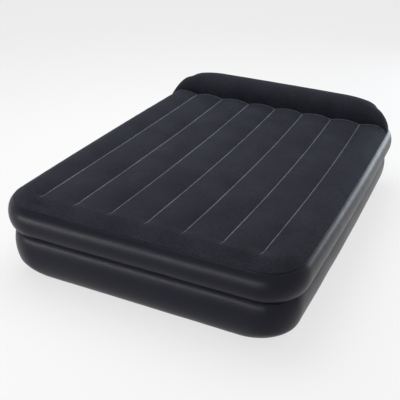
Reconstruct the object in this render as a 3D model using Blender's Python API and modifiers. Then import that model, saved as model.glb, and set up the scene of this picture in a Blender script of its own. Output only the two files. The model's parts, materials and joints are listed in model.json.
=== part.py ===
"""Raised queen-size air bed with a pillow rise and a built-in electric pump.

Metres, +Z up.  X runs across the bed and Y along it, with the head at +Y.
The origin is on the floor, at the middle of the footprint.  The bed is two
air chambers stacked on each other and pinched in at a waist; the pump sits
in a collar that is welded into the lower chamber's wall at the head end.
"""
import math

import bmesh
import bpy
from mathutils.geometry import interpolate_bezier

# ------------------------------------------------------------------ the bed
WIDTH = 1.52              # across the widest line of the upper tier
LENGTH = 2.03             # along the same line
CORNER_RADIUS = 0.200     # in plan, at the widest line
CORNER_EASE = 1.8         # extra corner radius per metre that a line lies inside the waist
SIDE_BOW = 0.012          # how far air bows the long sides out at mid length
FILM = 0.002              # film thickness as drawn; the real film is 0.45 mm
GAP = 0.0003              # between two pieces that touch

BOTTOM_INSET = 0.115      # how far each line lies inside the widest one
LOWER_INSET = 0.030
WAIST_INSET = 0.038
SEAM_INSET = 0.030
WAIST_Z = 0.242           # weld between the two tiers
SEAM_Z = 0.393            # weld between the upper wall and the top sheet
SHOULDER = 0.020          # how soon a tier's wall turns upright
FLANGE = 0.003            # weld flange that shows at the waist

CROWN = 0.039             # rise of the top sheet above its seam
EDGE = 0.075              # width over which the top sheet rises
LINE_PITCH = 0.184        # between weld lines on the top
LINE_COUNT = 7
LINE_DEPTH = 0.015        # how deep a weld line lies below its channels
LINE_END = 0.080          # from the seam to the end of a weld line
LINE_BOW = 0.022          # sideways bow of the weld lines at mid length

PILLOW_DEPTH = 0.200      # from the head seam to the pillow's front
PILLOW_RISE = 0.120       # above the top sheet
PILLOW_END = 0.320        # length over which each end rounds off

LOWER_BEAM_PITCH = 0.360
LOWER_BEAM_COUNT = 4
BEAM_FOOT_ROOM = 0.200    # from the widest line to a lower beam's foot end
BEAM_HEAD_ROOM = 0.240    # the same at the head, clear of the pump
VENT_RADIUS = 0.030       # air holes in the sheet between the tiers
VENT_PITCH = 0.600

ARC_STEPS = 6             # facets in a quarter turn of the plan outline
SIDE_STEPS = 8
TIER_STEPS = 8
CHANNEL_STEPS = 4
ROUND_STEPS = 24

# ----------------------------------------------------------------- the pump
PANEL_WIDTH = 0.236
PANEL_HEIGHT = 0.146
PANEL_RADIUS = 0.020
PANEL_THICKNESS = 0.003
PANEL_RECESS = 0.050      # from the widest line in to the panel's face
PUMP_Z = 0.125            # height of the panel's middle
PUMP_SIDE_ROOM = 0.112    # from the corner's round to the panel's edge
PUMP_DEPTH = 0.118
HOUSING_WALL = 0.0025
HOUSING_CORNER = 0.036    # cavity corners, fat enough to take the screws

COLLAR_WALL = 0.0035
COLLAR_FRONT = 0.022
COLLAR_BACK = 0.085

BAY_X = -0.068
BAY_WIDTH = 0.078
BAY_HEIGHT = 0.116
BAY_DEPTH = 0.062
BAY_WALL = 0.002
BAY_RADIUS = 0.008

DOOR_OVERLAP = 0.0025     # how far the door covers the panel round the bay
DOOR_LOW = 0.0006
DOOR_HIGH = 0.0028
HINGE_OUT = 0.0055        # from the bay's edge to the hinge axis
HINGE_Z = 0.0045
KNUCKLE_RADIUS = 0.003
KNUCKLE_HALF = 0.025
EAR_LENGTH = 0.009
PIN_RADIUS = 0.0012
HINGE_CLEARANCE = 0.002   # from the knuckle to the door's plate

DIAL_X, DIAL_Y = 0.028, 0.018
DIAL_RADIUS = 0.034
DIAL_TOP = 0.008
GRIP_TOP = 0.019
GRIP_WIDTH = 0.014
SHAFT_RADIUS = 0.005
DISC_RADIUS = 0.040
DISC_THICKNESS = 0.003

SWITCH_X, SWITCH_Y = 0.028, -0.044
SWITCH_WIDTH = 0.0294
SWITCH_HEIGHT = 0.0194
SWITCH_WALL = 0.0022
SWITCH_DEPTH = 0.020
SWITCH_FLANGE = 0.0023
ROCKER_SIDE_ROOM = 0.0003
ROCKER_TILT_ROOM = 0.0011
ROCKER_LOW, ROCKER_HIGH = -0.006, 0.0045
ROCKER_PIN_Z = -0.001
ROCKER_PIN_RADIUS = 0.001

VALVE_X, VALVE_Y = 0.092, 0.022
VALVE_RADIUS = 0.014
VALVE_BORE = 0.012
VALVE_TAIL = 0.006        # how far the tube stands out behind the housing
VALVE_FLANGE = 0.018
FLANGE_THICKNESS = 0.0015
VALVE_NECK = 0.0125       # how far its mouth stands out from the panel
CAP_RADIUS = 0.0165
CAP_HEIGHT = 0.007
PLUG_DEPTH = 0.0115

OUTLET_X, OUTLET_Y = 0.085, -0.032
OUTLET_RADIUS = 0.015
FLAP_MARGIN = 0.003
FLAP_THICKNESS = 0.0015

FAN_X, FAN_Y = 0.026, 0.0
SCROLL_RADIUS = 0.052
SCROLL_FRONT, SCROLL_BACK = -0.024, -0.064
SCROLL_WALL = 0.002
INLET_RADIUS = 0.026
FAN_RADIUS = 0.046
FAN_FRONT, FAN_BACK = -0.030, -0.058
FAN_HUB = 0.009
BLADE_COUNT = 9
BLADE_SWEEP = math.radians(24)
MOTOR_SHAFT_RADIUS = 0.003
MOTOR_RADIUS = 0.025
MOTOR_LENGTH = 0.047

SLOT_X, SLOT_Y = 0.088, -0.034
SLOT_LENGTH, SLOT_WIDTH, SLOT_PITCH = 0.040, 0.004, 0.009
SLOT_COUNT = 5

SCREW_IN = 0.011          # from the panel's side edge to a screw
SCREW_DOWN = 0.0085       # from its top or bottom edge
SCREW_RADIUS = 0.0016
SCREW_HEAD = 0.0035
SCREW_LENGTH = 0.014

GLAND_X, GLAND_Y = -0.050, -0.038

# ------------------------------------------------------------ derived sizes
SEAM_HALF_WIDTH = WIDTH / 2 - SEAM_INSET
SEAM_HALF_LENGTH = LENGTH / 2 - SEAM_INSET
SEAM_RADIUS = CORNER_RADIUS - SEAM_INSET
RIM_Z = SEAM_Z + FILM + GAP
PILLOW_FRONT = SEAM_HALF_LENGTH - PILLOW_DEPTH
UPPER_BEAM_FLOOR = WAIST_Z + FILM + GAP
PUMP_X = -(WIDTH / 2 - CORNER_RADIUS - PUMP_SIDE_ROOM - PANEL_WIDTH / 2)
PANEL_Y = LENGTH / 2 - PANEL_RECESS
HINGE_X = BAY_X - BAY_WIDTH / 2 - HINGE_OUT
WELD_LINES = [(number - (LINE_COUNT - 1) / 2) * LINE_PITCH for number in range(LINE_COUNT)]


# ------------------------------------------------------------ scene set-up
for old in list(bpy.data.objects):
    bpy.data.objects.remove(old)


def collection(name):
    """A new collection in the scene."""
    made = bpy.data.collections.new(name)
    bpy.context.scene.collection.children.link(made)
    return made


PARTS = collection("air_bed")
CUTTERS = collection("cutters")


def material(name, colour, roughness, metallic=0.0):
    """A Principled material; the colour is linear RGB."""
    made = bpy.data.materials.new(name)
    made.use_nodes = True
    shader = made.node_tree.nodes["Principled BSDF"]
    shader.inputs["Base Color"].default_value = (*colour, 1.0)
    shader.inputs["Roughness"].default_value = roughness
    shader.inputs["Metallic"].default_value = metallic
    return made


FLOCK = material("flocked_top", (0.024, 0.027, 0.042), 0.95)
VINYL = material("side_vinyl", (0.012, 0.012, 0.022), 0.35)
CLEAR_FILM = material("inner_film", (0.10, 0.11, 0.13), 0.45)
PLASTIC = material("pump_plastic", (0.018, 0.019, 0.024), 0.45)
GREY_PLASTIC = material("grey_plastic", (0.16, 0.17, 0.19), 0.40)
RUBBER = material("rubber", (0.010, 0.010, 0.011), 0.80)
STEEL = material("steel", (0.45, 0.45, 0.47), 0.30, 1.0)


# ----------------------------------------------------------------- helpers
def add_object(name, mesh, group=PARTS, finish=None, parent=None, at=(0, 0, 0)):
    """Link a mesh as a named object, smooth shaded with sharp edges kept."""
    item = bpy.data.objects.new(name, mesh)
    group.objects.link(item)
    item.location = at
    item.parent = parent
    if finish is not None:
        mesh.materials.append(finish)
    if group is CUTTERS:
        item.hide_render = True
        item.display_type = "WIRE"
    mesh.shade_smooth()
    mesh.set_sharp_from_angle(angle=math.radians(40))
    return item


def sheet(name, surface, across, along, finish, closed=False, offset=-1.0):
    """A film: a grid laid on surface(i, j) and given the film's thickness."""
    grid = bmesh.new()
    bmesh.ops.create_grid(grid, x_segments=across, y_segments=along, size=0.5)
    for corner in grid.verts:
        i = round((corner.co.x + 0.5) * across)
        j = round((corner.co.y + 0.5) * along)
        corner.co = surface(i, j)
    if closed:
        bmesh.ops.remove_doubles(grid, verts=grid.verts[:], dist=GAP)
    bmesh.ops.triangulate(grid, faces=grid.faces[:], quad_method="FIXED")
    mesh = bpy.data.meshes.new(name)
    grid.to_mesh(mesh)
    grid.free()
    item = add_object(name, mesh, finish=finish)
    wall = item.modifiers.new("film", "SOLIDIFY")
    wall.thickness = FILM
    wall.offset = offset
    return item


def circle(x, y, radius, steps=ROUND_STEPS):
    """Points of a circle."""
    turn = 2 * math.pi / steps
    return [(x + radius * math.cos(n * turn), y + radius * math.sin(n * turn)) for n in range(steps)]


def rounded_box(x, y, width, height, radius, steps=5):
    """Points of a rectangle with round corners, anticlockwise."""
    points = []
    for number, (side, end) in enumerate(((1, 1), (-1, 1), (-1, -1), (1, -1))):
        centre_x = x + side * (width / 2 - radius)
        centre_y = y + end * (height / 2 - radius)
        for step in range(steps + 1):
            angle = (number + step / steps) * math.pi / 2
            points.append((centre_x + radius * math.cos(angle), centre_y + radius * math.sin(angle)))
    return points


def slab(name, outlines, low, high, group=PARTS, finish=None, parent=None, at=(0, 0, 0)):
    """A flat outline with its holes, filled and extruded from low to high."""
    curve = bpy.data.curves.new(name, "CURVE")
    curve.dimensions = "2D"
    curve.fill_mode = "BOTH"
    curve.extrude = (high - low) / 2
    for outline in outlines:
        spline = curve.splines.new("POLY")
        spline.points.add(len(outline) - 1)
        for point, (x, y) in zip(spline.points, outline):
            point.co = (x - at[0], y - at[1], 0.0, 1.0)
        spline.use_cyclic_u = True
    guide = bpy.data.objects.new(name + "_outline", curve)
    CUTTERS.objects.link(guide)
    bpy.context.view_layer.update()
    filled = bpy.data.meshes.new_from_object(guide.evaluated_get(bpy.context.evaluated_depsgraph_get()))
    filled.name = name
    bpy.data.objects.remove(guide)
    work = bmesh.new()
    work.from_mesh(filled)
    bmesh.ops.remove_doubles(work, verts=work.verts[:], dist=0.00001)
    bmesh.ops.translate(work, verts=work.verts[:], vec=(0, 0, (low + high) / 2 - at[2]))
    bmesh.ops.recalc_face_normals(work, faces=work.faces[:])
    work.to_mesh(filled)
    work.free()
    filled.materials.clear()
    return add_object(name, filled, group, finish, parent, at)


def turned(name, profile, group=PARTS, finish=None, parent=None, at=(0, 0, 0), ring=False, steps=ROUND_STEPS):
    """A turned piece: (radius, height) points, down the outer side, spun about Z."""
    mesh = bpy.data.meshes.new(name)
    count = len(profile)
    edges = [(n, n + 1) for n in range(count - 1)]
    if ring:
        edges.append((count - 1, 0))
    mesh.from_pydata([(radius, 0, height - at[2]) for radius, height in profile], edges, [])
    item = add_object(name, mesh, group, finish, parent, at)
    screw = item.modifiers.new("turn", "SCREW")
    screw.steps = steps
    screw.render_steps = steps
    screw.use_merge_vertices = True
    screw.merge_threshold = 0.00001
    return item


def rod(name, radius, length, along, group=PARTS, finish=None, parent=None, at=(0, 0, 0), steps=16):
    """A round bar centred on its place, lying along local X or Y."""
    turns = {"X": (0, math.pi / 2, 0), "Y": (math.pi / 2, 0, 0)}
    work = bmesh.new()
    bmesh.ops.create_cone(
        work, cap_ends=True, segments=steps, radius1=radius, radius2=radius, depth=length
    )
    mesh = bpy.data.meshes.new(name)
    work.to_mesh(mesh)
    work.free()
    item = add_object(name, mesh, group, finish, parent, at)
    item.rotation_euler = turns[along]
    return item


def combine(piece, other, operation):
    """Join another shape to a piece or cut it away; the other shape is a guide."""
    step = piece.modifiers.new(other.name, "BOOLEAN")
    step.operation = operation
    step.object = other


# ------------------------------------------------------- the bed's outlines
def outline_stations():
    """Base point and outward angle of each point round the bed, anticlockwise."""
    a = WIDTH / 2 - CORNER_RADIUS
    b = LENGTH / 2 - CORNER_RADIUS
    centres = [(a, -b), (a, b), (-a, b), (-a, -b)]
    stations = []
    for number, (x, y) in enumerate(centres):
        start = (number - 1) * math.pi / 2
        for step in range(ARC_STEPS + 1):
            stations.append((x, y, start + step / ARC_STEPS * math.pi / 2))
        next_x, next_y = centres[(number + 1) % 4]
        for step in range(1, SIDE_STEPS):
            part = step / SIDE_STEPS
            base = (x + (next_x - x) * part, y + (next_y - y) * part)
            stations.append((*base, start + math.pi / 2))
    return stations


STATIONS = outline_stations()


def barrelled(x, y):
    """Draw the long sides in towards the bed's ends, which leaves them bowed out."""
    return x * (1 - SIDE_BOW / (WIDTH / 2) * (y / (LENGTH / 2)) ** 2), y


def outline_point(number, inset):
    """Plan position of a station, moved inwards from the widest line.

    Lines inside the waist, down at the bottom weld, have rounder corners.
    """
    x, y, angle = STATIONS[number % len(STATIONS)]
    extra = CORNER_EASE * max(0.0, inset - WAIST_INSET)
    x *= 1 - extra / (WIDTH / 2 - CORNER_RADIUS)
    y *= 1 - extra / (LENGTH / 2 - CORNER_RADIUS)
    reach = CORNER_RADIUS - inset + extra
    return barrelled(x + reach * math.cos(angle), y + reach * math.sin(angle))


def outline(inset):
    return [outline_point(number, inset) for number in range(len(STATIONS))]


def tier_profile(low_inset, low_z, high_inset, high_z, widest):
    """(inset, z) points up a tier's wall, bulging out to its widest inset."""
    handle = (widest - (low_inset + high_inset) / 8) / 0.75
    return interpolate_bezier(
        (low_inset, low_z), (handle, low_z + SHOULDER),
        (handle, high_z - SHOULDER), (high_inset, high_z), TIER_STEPS + 1,
    )


def side_wall(name, profile):
    """A tier's wall, all the way round."""
    def surface(i, j):
        inset, z = profile[j]
        return (*outline_point(i, inset), z)
    return sheet(name, surface, len(STATIONS), TIER_STEPS, VINYL, closed=True)


def spaced(low, high, count):
    return [low + (high - low) * n / count for n in range(count + 1)]


def plan_columns():
    """Nominal x of the top sheet's grid lines, with one on each weld line."""
    inner = spaced(WELD_LINES[0], WELD_LINES[-1], (LINE_COUNT - 1) * CHANNEL_STEPS)
    edge = [0.0, 0.02, 0.045, 0.075]
    if SEAM_HALF_WIDTH - WELD_LINES[-1] > 2 * EDGE:
        edge.append(EDGE * 1.6)
    right = [SEAM_HALF_WIDTH - distance for distance in reversed(edge)]
    return [-x for x in reversed(right)] + inner + right


def plan_rows():
    """Nominal y of the grid lines: close together at the seams and the pillow."""
    edge = [0.0, 0.02, 0.045, 0.075, 0.13, SEAM_RADIUS]
    foot = [-SEAM_HALF_LENGTH + distance for distance in edge]
    middle = spaced(foot[-1], PILLOW_FRONT, 6)[1:]
    depths = [0.08, 0.2, 0.35, 0.5, 0.65, 0.8, 0.92, 1.0]
    return foot + middle + [PILLOW_FRONT + PILLOW_DEPTH * part for part in depths]


COLUMNS = plan_columns()
ROWS = plan_rows()


def bowed(x, y):
    """Sideways bow that the weld lines take when the bed is blown up."""
    across = 1 - (x / SEAM_HALF_WIDTH) ** 4
    along = 1 - (y / SEAM_HALF_LENGTH) ** 2
    return x + LINE_BOW * across * along


def rounded(x, y):
    """Draw the corners of the full rectangle in to the seam's round corners."""
    u = (abs(x) - SEAM_HALF_WIDTH) / SEAM_RADIUS + 1
    v = (abs(y) - SEAM_HALF_LENGTH) / SEAM_RADIUS + 1
    if u <= 0 or v <= 0:
        return x, y
    scale = max(u, v) / math.hypot(u, v)
    u_in, v_in = u * scale - 1, v * scale - 1
    new_x = SEAM_HALF_WIDTH + u_in * SEAM_RADIUS
    new_y = SEAM_HALF_LENGTH + v_in * SEAM_RADIUS
    return math.copysign(new_x, x), math.copysign(new_y, y)


def top_height(x, y):
    """Height of the top sheet: up from its seam, with a groove at each weld line."""
    from_rim = min(SEAM_HALF_WIDTH - abs(x), SEAM_HALF_LENGTH - abs(y))
    rise = math.sin(min(1.0, from_rim / EDGE) * math.pi / 2)
    off_line = min(abs(x - line) for line in WELD_LINES) / (LINE_PITCH / 2)
    groove = max(0.0, 1 - off_line) ** 2
    run_out = min(1.0, from_rim / (LINE_END + EDGE / 2)) ** 2
    return RIM_Z + CROWN * rise - LINE_DEPTH * groove * run_out


def top_point(x, y):
    return (*barrelled(*rounded(bowed(x, y), y)), top_height(x, y))


def lift(x, y):
    """How far a second film must be raised to lie clear on the top sheet."""
    step = 0.01
    reach_x = min(abs(x) + step, SEAM_HALF_WIDTH)
    reach_y = min(abs(y) + step, SEAM_HALF_LENGTH)
    slope_x = (top_height(reach_x, y) - top_height(reach_x - 2 * step, y)) / (2 * step)
    slope_y = (top_height(x, reach_y) - top_height(x, reach_y - 2 * step)) / (2 * step)
    return (FILM + 2 * GAP) * math.hypot(1, slope_x, slope_y)


def pillow_ridge(x, y):
    """Height of the pillow above the sheet that it is welded to."""
    depth = (y - PILLOW_FRONT) / PILLOW_DEPTH
    arch = math.sin(math.pi * min(1.0, max(0.0, depth))) ** 0.6
    past = max(0.0, abs(x) - (SEAM_HALF_WIDTH - PILLOW_END)) / PILLOW_END
    return PILLOW_RISE * arch * math.sqrt(max(0.0, 1 - past ** 2))


# ----------------------------------------------------------- the air bed
def make_top_sheet():
    def surface(i, j):
        return top_point(COLUMNS[i], ROWS[j])
    return sheet("top_sheet", surface, len(COLUMNS) - 1, len(ROWS) - 1, FLOCK)


def make_pillow_shell():
    first = next(n for n, y in enumerate(ROWS) if y > PILLOW_FRONT - GAP)

    def surface(i, j):
        x, y = COLUMNS[i], ROWS[first + j]
        px, py, pz = top_point(x, y)
        return px, py, pz + lift(x, y) + pillow_ridge(x, y)
    return sheet("pillow_shell", surface, len(COLUMNS) - 1, len(ROWS) - 1 - first, FLOCK)


def make_walls():
    side_wall("upper_side_wall", tier_profile(
        WAIST_INSET, WAIST_Z + FILM + GAP, SEAM_INSET, SEAM_Z, widest=0.0))
    lower = side_wall("lower_side_wall", tier_profile(
        BOTTOM_INSET, FILM + GAP, WAIST_INSET, WAIST_Z - GAP, widest=LOWER_INSET))
    return lower


def make_flat_sheets():
    slab("bottom_sheet", [outline(BOTTOM_INSET)], 0.0, FILM, finish=VINYL)
    vents = []
    for x in spaced(-LOWER_BEAM_PITCH, LOWER_BEAM_PITCH, 2):
        for y in spaced(-VENT_PITCH, VENT_PITCH, 2):
            vents.append(circle(x, y, VENT_RADIUS, 16))
    slab("divider_sheet", [outline(WAIST_INSET - FLANGE), *vents], WAIST_Z, WAIST_Z + FILM,
         finish=CLEAR_FILM)


def make_beams():
    """Upright webs that tie the flat sheets together and keep the bed flat."""
    reach = SEAM_HALF_LENGTH - LINE_END
    stations = [y for y in ROWS if -reach <= y <= PILLOW_FRONT + GAP]

    def make_upper(number, line):
        def surface(i, j):
            x, y, z = top_point(line, stations[i])
            return x, y, (UPPER_BEAM_FLOOR, z - FILM - 2 * GAP)[j]
        sheet(f"upper_beam_{number}", surface, len(stations) - 1, 1, CLEAR_FILM, offset=0.0)

    for number, line in enumerate(WELD_LINES, start=1):
        make_upper(number, line)

    foot = -LENGTH / 2 + BEAM_FOOT_ROOM
    head = LENGTH / 2 - BEAM_HEAD_ROOM
    half = FILM / 2
    for number in range(LOWER_BEAM_COUNT):
        x = (number - (LOWER_BEAM_COUNT - 1) / 2) * LOWER_BEAM_PITCH
        plan = [(x - half, foot), (x + half, foot), (x + half, head), (x - half, head)]
        slab(f"lower_beam_{number + 1}", [plan], FILM + GAP, WAIST_Z - GAP, finish=CLEAR_FILM)


# ------------------------------------------------------------- the pump
def make_pump_frame():
    """Local X right as one faces the panel, local Y up, local Z out of the bed."""
    frame = bpy.data.objects.new("pump_frame", None)
    PARTS.objects.link(frame)
    frame.location = (PUMP_X, PANEL_Y, PUMP_Z)
    frame.rotation_euler = (math.pi / 2, 0, math.pi)
    return frame


def make_collar(frame, lower_wall):
    def ring(extra):
        inner = GAP + extra
        return rounded_box(0, 0, PANEL_WIDTH + 2 * inner, PANEL_HEIGHT + 2 * inner, PANEL_RADIUS + inner)
    slab("port_collar", [ring(COLLAR_WALL), ring(0.0)], -COLLAR_BACK, COLLAR_FRONT,
         finish=PLASTIC, parent=frame)
    hole = slab("collar_hole", [ring(COLLAR_WALL + GAP)], -COLLAR_BACK, 2 * PANEL_RECESS,
                group=CUTTERS, parent=frame)
    combine(lower_wall, hole, "DIFFERENCE")


def screw_places():
    x = PANEL_WIDTH / 2 - SCREW_IN
    y = PANEL_HEIGHT / 2 - SCREW_DOWN
    return [(side * x, end * y) for side in (-1, 1) for end in (-1, 1)]


def make_face_plate(frame):
    holes = [
        rounded_box(BAY_X, 0, BAY_WIDTH, BAY_HEIGHT, BAY_RADIUS),
        circle(DIAL_X, DIAL_Y, SHAFT_RADIUS + GAP),
        rounded_box(SWITCH_X, SWITCH_Y, SWITCH_WIDTH + 2 * GAP, SWITCH_HEIGHT + 2 * GAP, 0.001, 2),
        circle(VALVE_X, VALVE_Y, VALVE_RADIUS + GAP),
    ]
    holes += [circle(x, y, SCREW_RADIUS + GAP, 12) for x, y in screw_places()]
    for number in range(SLOT_COUNT):
        y = SLOT_Y + (number - (SLOT_COUNT - 1) / 2) * SLOT_PITCH
        holes.append(rounded_box(SLOT_X, y, SLOT_LENGTH, SLOT_WIDTH, SLOT_WIDTH / 2 - GAP, 3))
    edge = rounded_box(0, 0, PANEL_WIDTH, PANEL_HEIGHT, PANEL_RADIUS)
    plate = slab("face_plate", [edge, *holes], -PANEL_THICKNESS, 0.0, finish=PLASTIC, parent=frame)

    ear_top = HINGE_Z + KNUCKLE_RADIUS
    for number, side in enumerate((-1, 1)):
        middle = side * (KNUCKLE_HALF + GAP + EAR_LENGTH / 2)
        ear = slab(f"hinge_ear_{number}",
                   [rounded_box(HINGE_X, middle, 2 * KNUCKLE_RADIUS, EAR_LENGTH, 0.001, 2)],
                   -PANEL_THICKNESS / 2, ear_top, group=CUTTERS, parent=frame)
        combine(plate, ear, "UNION")
    bore = rod("ear_bore", PIN_RADIUS + GAP, 4 * KNUCKLE_HALF, "Y", CUTTERS, None, frame,
               (HINGE_X, 0, HINGE_Z))
    combine(plate, bore, "DIFFERENCE")


def make_housing(frame):
    front = -PANEL_THICKNESS - GAP
    housing = slab("pump_housing", [rounded_box(0, 0, PANEL_WIDTH, PANEL_HEIGHT, PANEL_RADIUS)],
                   -PUMP_DEPTH, front, finish=PLASTIC, parent=frame)
    inner_width = PANEL_WIDTH - 2 * HOUSING_WALL
    inner_height = PANEL_HEIGHT - 2 * HOUSING_WALL
    cavity = slab("housing_cavity", [rounded_box(0, 0, inner_width, inner_height, HOUSING_CORNER, 8)],
                  -PUMP_DEPTH + HOUSING_WALL, 0.01, group=CUTTERS, parent=frame)
    combine(housing, cavity, "DIFFERENCE")
    ports = (("valve", VALVE_X, VALVE_Y, VALVE_RADIUS + GAP), ("outlet", OUTLET_X, OUTLET_Y, OUTLET_RADIUS))
    for name, x, y, radius in ports:
        port = slab(f"{name}_port", [circle(x, y, radius)], -PUMP_DEPTH - 0.01,
                    -PUMP_DEPTH + 2 * HOUSING_WALL, group=CUTTERS, parent=frame)
        combine(housing, port, "DIFFERENCE")
    for number, (x, y) in enumerate(screw_places()):
        pilot = slab(f"screw_pilot_{number}", [circle(x, y, SCREW_RADIUS + GAP, 12)],
                     -SCREW_LENGTH - 2 * GAP, 0.01, group=CUTTERS, parent=frame)
        combine(housing, pilot, "DIFFERENCE")


def make_screws(frame):
    head_top = GAP + 0.002
    for number, (x, y) in enumerate(screw_places(), start=1):
        turned(f"panel_screw_{number}",
               [(0, head_top), (SCREW_HEAD * 0.7, head_top), (SCREW_HEAD, GAP + 0.001), (SCREW_HEAD, GAP),
                (SCREW_RADIUS, GAP), (SCREW_RADIUS, -SCREW_LENGTH), (0, -SCREW_LENGTH)],
               finish=STEEL, parent=frame, at=(x, y, 0), steps=12)


def make_cord_bay(frame):
    bay = slab("cord_bay",
               [rounded_box(BAY_X, 0, BAY_WIDTH - 2 * GAP, BAY_HEIGHT - 2 * GAP, BAY_RADIUS - GAP)],
               -BAY_DEPTH, 0.0, finish=PLASTIC, parent=frame)
    inner = slab("bay_cavity",
                 [rounded_box(BAY_X, 0, BAY_WIDTH - 2 * BAY_WALL, BAY_HEIGHT - 2 * BAY_WALL,
                              BAY_RADIUS - BAY_WALL)],
                 -BAY_DEPTH + BAY_WALL, 0.01, group=CUTTERS, parent=frame)
    combine(bay, inner, "DIFFERENCE")
    shank = 0.005
    hole = slab("gland_hole", [circle(GLAND_X, GLAND_Y, shank + GAP, 16)], -BAY_DEPTH - 0.01,
                -BAY_DEPTH + 2 * BAY_WALL, group=CUTTERS, parent=frame)
    combine(bay, hole, "DIFFERENCE")
    seat = -BAY_DEPTH + BAY_WALL + GAP
    bore = 0.003
    turned("cord_gland",
           [(0.0045, seat + 0.022), (0.0055, seat + 0.004), (0.008, seat + 0.003), (0.008, seat),
            (shank, seat), (shank, seat - 0.006), (bore, seat - 0.006), (bore, seat + 0.022)],
           finish=RUBBER, parent=frame, at=(GLAND_X, GLAND_Y, 0), ring=True, steps=16)


def make_cord_door(frame):
    """The door, with a hinge knuckle at its left edge; its origin is on the hinge axis."""
    at = (HINGE_X, 0, HINGE_Z)
    left = HINGE_X + KNUCKLE_RADIUS + HINGE_CLEARANCE
    right = BAY_X + BAY_WIDTH / 2 + DOOR_OVERLAP
    height = BAY_HEIGHT + 2 * DOOR_OVERLAP
    door = slab("cord_door", [rounded_box((left + right) / 2, 0, right - left, height, 0.005)],
                DOOR_LOW, DOOR_HIGH, finish=PLASTIC, parent=frame, at=at)
    tab_right = left + 0.006
    tab = slab("door_tab", [rounded_box((HINGE_X + tab_right) / 2, 0, tab_right - HINGE_X,
                                        2 * KNUCKLE_HALF - 0.001, 0.0005, 1)],
               DOOR_LOW + 0.0001, DOOR_HIGH - 0.0001, group=CUTTERS, parent=frame)
    combine(door, tab, "UNION")
    knuckle = rod("door_knuckle", KNUCKLE_RADIUS, 2 * KNUCKLE_HALF, "Y", CUTTERS, None, frame, at)
    combine(door, knuckle, "UNION")
    bore = rod("knuckle_bore", PIN_RADIUS + GAP, 4 * KNUCKLE_HALF, "Y", CUTTERS, None, frame, at)
    combine(door, bore, "DIFFERENCE")
    rod("door_pin", PIN_RADIUS, 2 * (KNUCKLE_HALF + GAP + EAR_LENGTH), "Y", finish=STEEL,
        parent=frame, at=at)


def make_dial(frame):
    at = (DIAL_X, DIAL_Y, 0)
    bore = SHAFT_RADIUS + GAP
    bore_top = DIAL_TOP - 0.002
    dial = turned("mode_dial",
                  [(0, DIAL_TOP), (DIAL_RADIUS - 0.003, DIAL_TOP), (DIAL_RADIUS, DIAL_TOP - 0.002),
                   (DIAL_RADIUS, GAP), (bore, GAP), (bore, bore_top), (0, bore_top)],
                  finish=PLASTIC, parent=frame, at=at)
    grip = slab("dial_grip",
                [rounded_box(DIAL_X, DIAL_Y, GRIP_WIDTH, 2 * DIAL_RADIUS - 0.006, GRIP_WIDTH / 2 - GAP)],
                DIAL_TOP - 0.001, GRIP_TOP, group=CUTTERS, parent=frame)
    combine(dial, grip, "UNION")
    disc_front = -PANEL_THICKNESS - 2 * GAP
    disc_back = disc_front - DISC_THICKNESS
    turned("dial_shaft",
           [(0, bore_top - GAP), (SHAFT_RADIUS, bore_top - GAP), (SHAFT_RADIUS, disc_back), (0, disc_back)],
           finish=PLASTIC, parent=frame, at=at)
    ports = [circle(DIAL_X, DIAL_Y + side * 0.024, 0.009, 16) for side in (-1, 1)]
    slab("selector_disc", [circle(DIAL_X, DIAL_Y, DISC_RADIUS), circle(DIAL_X, DIAL_Y, bore), *ports],
         disc_back, disc_front, finish=GREY_PLASTIC, parent=frame, at=at)


def make_switch(frame):
    def box(width, height):
        return [rounded_box(SWITCH_X, SWITCH_Y, width, height, 0.001, 2)]
    body = slab("switch_frame", box(SWITCH_WIDTH, SWITCH_HEIGHT), -SWITCH_DEPTH, GAP + 0.001,
                finish=PLASTIC, parent=frame)
    flange = slab("switch_flange", box(SWITCH_WIDTH + 2 * SWITCH_FLANGE, SWITCH_HEIGHT + 2 * SWITCH_FLANGE),
                  GAP, GAP + FLANGE_THICKNESS, group=CUTTERS, parent=frame)
    combine(body, flange, "UNION")
    inner_width = SWITCH_WIDTH - 2 * SWITCH_WALL
    inner_height = SWITCH_HEIGHT - 2 * SWITCH_WALL
    cavity = slab("switch_cavity", box(inner_width, inner_height), -SWITCH_DEPTH + SWITCH_WALL, 0.01,
                  group=CUTTERS, parent=frame)
    combine(body, cavity, "DIFFERENCE")
    axis = (SWITCH_X, SWITCH_Y, ROCKER_PIN_Z)
    frame_bore = rod("switch_bore", ROCKER_PIN_RADIUS + GAP, SWITCH_WIDTH + 0.01, "X", CUTTERS, None,
                     frame, axis)
    combine(body, frame_bore, "DIFFERENCE")
    rocker = slab("rocker", box(inner_width - 2 * ROCKER_SIDE_ROOM, inner_height - 2 * ROCKER_TILT_ROOM),
                  ROCKER_LOW, ROCKER_HIGH, finish=RUBBER, parent=frame, at=axis)
    combine(rocker, frame_bore, "DIFFERENCE")
    rod("rocker_pin", ROCKER_PIN_RADIUS, SWITCH_WIDTH - 2 * GAP, "X", finish=STEEL, parent=frame, at=axis)


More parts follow.
